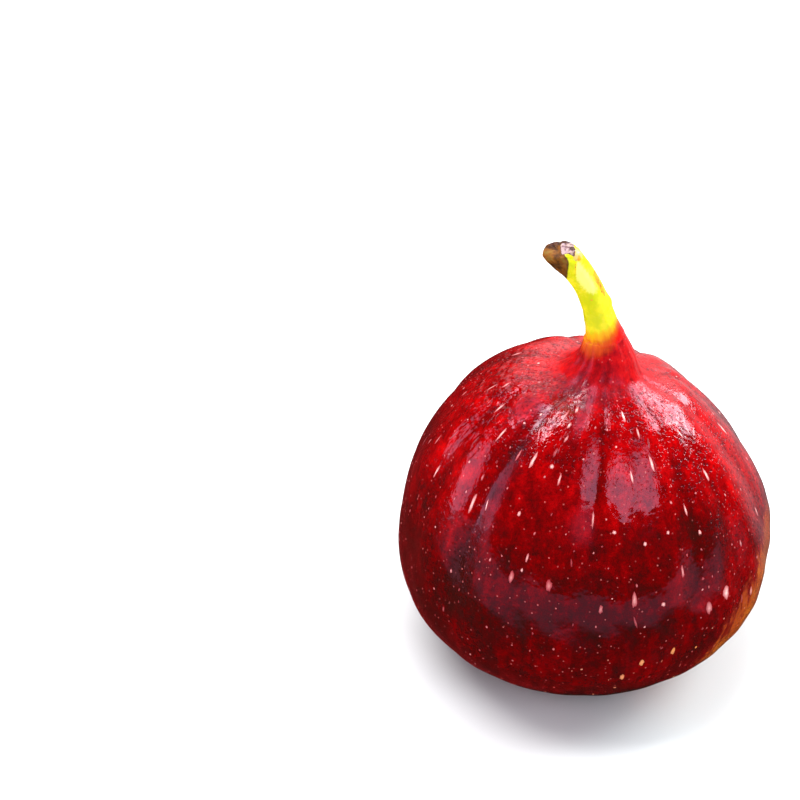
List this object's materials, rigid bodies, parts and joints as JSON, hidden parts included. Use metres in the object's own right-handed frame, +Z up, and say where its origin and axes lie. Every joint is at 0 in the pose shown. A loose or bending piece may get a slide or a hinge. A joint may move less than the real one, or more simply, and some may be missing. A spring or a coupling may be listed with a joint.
{
  "type": "fresh fig",
  "caption": "Whole ripe fresh fig: a squat ribbed fruit standing on its eye, with a fluted neck and a short bent stalk.",
  "frame": {"origin": "middle of the part's width and depth, on the plane that it rests on", "axes": "+Z up through the neck; the stalk bends towards -X; -Y is the side that the picture shows"},
  "size_m": [0.0492, 0.0488, 0.0602],
  "materials": {
    "skin": "ripe fig skin: waxy, wet and glossy",
    "stalk": "fresh yellow-green stalk, satin",
    "scales": "dry scales of the eye"
  },
  "bodies": {
    "root": {"fruit": "skin", "stalk": "stalk", "eye_scales": "scales"}
  },
  "joints": []
}
